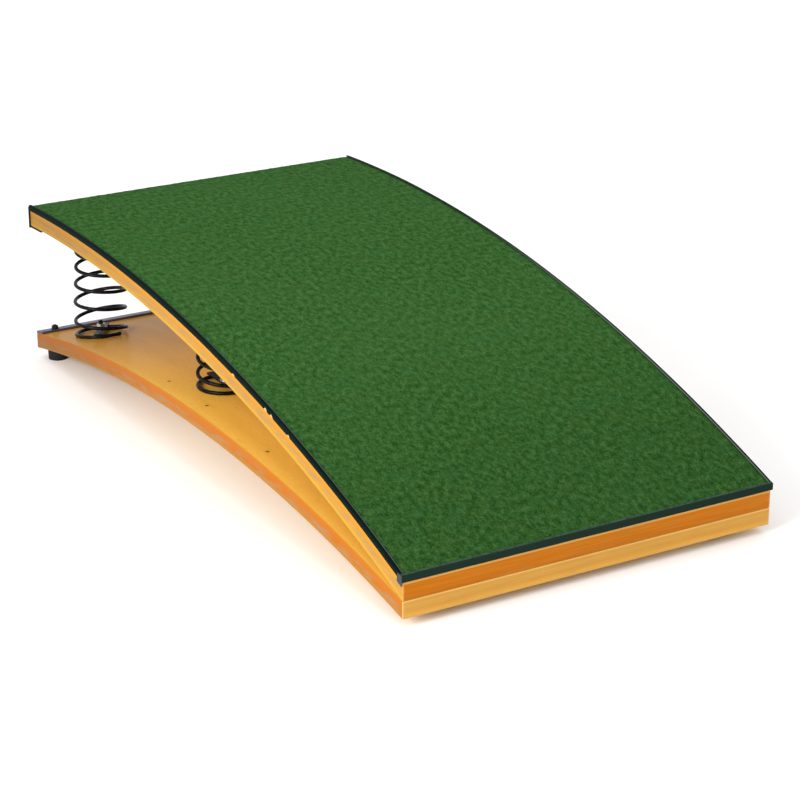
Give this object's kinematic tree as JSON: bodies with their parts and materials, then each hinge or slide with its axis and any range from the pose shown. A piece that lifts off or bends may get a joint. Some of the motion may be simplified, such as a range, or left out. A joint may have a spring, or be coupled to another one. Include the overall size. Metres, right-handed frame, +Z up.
{
  "type": "gymnastics vaulting springboard",
  "caption": "Free-standing vaulting springboard: carpeted bent plywood deck hinged at its low front edge to an arched base and carried on coil springs at the rear.",
  "frame": {"origin": "on the floor below the middle of the bounding box", "axes": "+Y from the low front end to the high rear end, +X to the right of a runner on the board, +Z up"},
  "size_m": [0.6, 1.2, 0.2662],
  "materials": {
    "varnished_plywood": "clear varnish on bent laminated birch, plies showing at the edges",
    "carpet": "needle-punched polypropylene pile, mottled green",
    "edge_strip": "dark green vinyl angle",
    "rear_guard": "black rubber angle, matte",
    "foot_rubber": "moulded black rubber",
    "spring_steel": "black enamelled spring wire",
    "bar_steel": "dark grey painted flat bar",
    "black_steel": "black oxide",
    "zinc_steel": "bright zinc plated"
  },
  "bodies": {
    "base": {"base_board": "varnished_plywood", "rear_bar": "bar_steel", "rear_bar_bolts": "black_steel", "rear_bar_washers": "black_steel", "rear_bar_nuts": "black_steel", "rear_foot_left": "foot_rubber", "rear_foot_right": "foot_rubber", "front_foot_left": "foot_rubber", "front_foot_right": "foot_rubber", "front_foot_screws": "zinc_steel", "hinge_leaf_lower": "zinc_steel", "hinge_pin": "zinc_steel", "hinge_screws_lower": "zinc_steel", "spring_rear_left": "spring_steel", "spring_rear_middle": "spring_steel", "spring_rear_right": "spring_steel", "spring_front_left": "spring_steel", "spring_front_right": "spring_steel", "lower_clamp_rear_left": "black_steel", "lower_clamp_rear_middle": "black_steel", "lower_clamp_rear_right": "black_steel", "lower_clamp_front_left": "black_steel", "lower_clamp_front_right": "black_steel", "lower_clamp_bolts": "black_steel", "lower_clamp_washers": "zinc_steel", "lower_clamp_nuts": "zinc_steel"},
    "deck": {"hinge_leaf_upper": "zinc_steel", "hinge_screws_upper": "zinc_steel", "upper_clamp_rear_left": "black_steel", "upper_clamp_rear_middle": "black_steel", "upper_clamp_rear_right": "black_steel", "upper_clamp_front_left": "black_steel", "upper_clamp_front_right": "black_steel", "upper_clamp_bolts": "black_steel", "upper_clamp_washers": "zinc_steel", "upper_clamp_nuts": "zinc_steel", "deck_board": "varnished_plywood", "carpet": "carpet", "edge_strip_left": "edge_strip", "edge_strip_right": "edge_strip", "edge_strip_front": "edge_strip", "rear_guard": "rear_guard", "rear_guard_screws": "zinc_steel"}
  },
  "joints": [
    {"name": "deck_hinge", "type": "hinge", "parent": "base", "child": "deck", "pos_m": [0, -0.575, 0.04516], "axis": [1, 0, 0], "range_deg": [-3.5, 0], "stiffness_Nm_per_rad": 24000, "springref_deg": 0.57, "deforming": ["spring_rear_left", "spring_rear_middle", "spring_rear_right", "spring_front_left", "spring_front_right"]}
  ]
}
